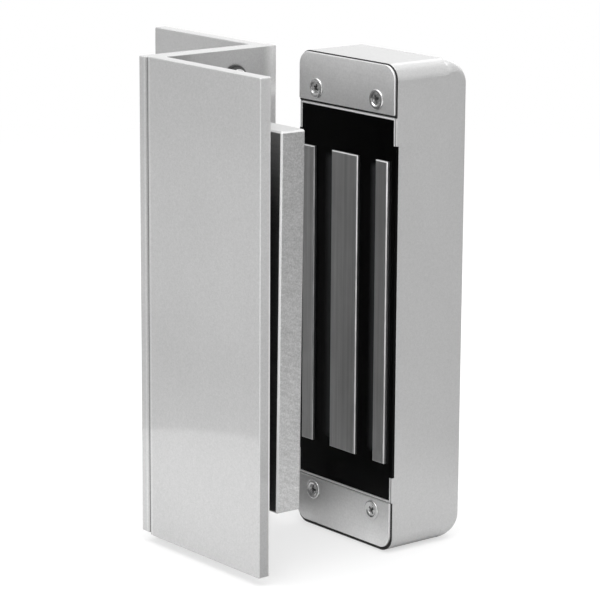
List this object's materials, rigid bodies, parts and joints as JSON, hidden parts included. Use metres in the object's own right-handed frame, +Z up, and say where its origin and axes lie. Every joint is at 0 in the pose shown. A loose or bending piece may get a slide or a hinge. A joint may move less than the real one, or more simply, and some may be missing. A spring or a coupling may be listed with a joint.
{
  "type": "magnetic door lock",
  "caption": "Face-mounted electromagnetic door lock: potted E-core magnet in a rounded silver housing, facing a steel armature plate carried on a Z made of slotted L brackets.",
  "frame": {"origin": "centre of the magnet housing's flat back, where it meets the door frame", "axes": "+X across the magnet, +Y out of the housing's back (the pole faces look along -Y at the armature), +Z up along the length"},
  "size_m": [0.112, 0.0818, 0.156],
  "materials": {
    "housing_paint": "satin silver paint",
    "core_steel": "ground lamination edges",
    "rivet_steel": "plain",
    "former_nylon": "moulded",
    "copper": "enamelled copper wire",
    "lead_insulation": "smooth sleeve",
    "resin": "poured, glossy",
    "cover_sheet": "fine satin",
    "gasket_rubber": "matt foam rubber",
    "screw_nickel": "nickel plate",
    "board": "solder mask",
    "terminal_plastic": "moulded",
    "terminal_metal": "zinc plate",
    "suppressor_epoxy": "dipped",
    "grommet_rubber": "moulded",
    "bracket_paint": "satin silver powder coat",
    "washer_black": "black oxide",
    "zinc": "zinc plate",
    "rubber": "smooth",
    "armature_steel": "nickel plated, grained edges",
    "bolt_steel": "zinc plate"
  },
  "bodies": {
    "magnet": {"housing_shell": "housing_paint", "e_core": "core_steel", "core_rivets": "rivet_steel", "coil_former": "former_nylon", "coil_winding": "copper", "coil_leads": "lead_insulation", "potting_resin": "resin", "upper_end_cover": "cover_sheet", "lower_end_cover": "cover_sheet", "upper_cover_gasket": "gasket_rubber", "lower_cover_gasket": "gasket_rubber", "cover_screws": "screw_nickel", "terminal_board": "board", "terminal_block": "terminal_plastic", "terminal_screws": "terminal_metal", "surge_suppressor": "suppressor_epoxy", "cable_grommet": "grommet_rubber"},
    "door_bracket": {"door_bracket": "bracket_paint"},
    "armature_bracket": {"armature_bracket": "bracket_paint", "web_screws": "screw_nickel", "web_washers": "washer_black", "web_lock_washers": "zinc", "web_nuts": "zinc", "bolt_standoff": "zinc", "seat_washer": "zinc", "armature_bolt": "bolt_steel"},
    "float_washer": {"rubber_washer": "rubber"},
    "armature": {"armature_plate": "armature_steel", "armature_washer": "zinc", "guide_pins": "bolt_steel"}
  },
  "joints": [
    {"name": "door_travel", "type": "slide", "parent": "magnet", "child": "door_bracket", "axis": [0, 1, 0], "range_m": [-0.015, 0.0327]},
    {"name": "bracket_reach", "type": "slide", "parent": "door_bracket", "child": "armature_bracket", "axis": [0, -1, 0], "range_m": [0, 0.01]},
    {"name": "armature_yaw", "type": "hinge", "parent": "armature_bracket", "child": "float_washer", "pos_m": [0, -0.07522, 0.0021], "axis": [0, 0, 1], "range_deg": [-0.8, 0.8]},
    {"name": "armature_tilt", "type": "hinge", "parent": "float_washer", "child": "armature", "pos_m": [0, -0.07522, 0.0021], "axis": [1, 0, 0], "range_deg": [-0.3, 0.63]}
  ],
  "couplings": [
    {"joint": "armature_tilt", "follows": "door_travel", "rad_per_m": 0.33092}
  ]
}
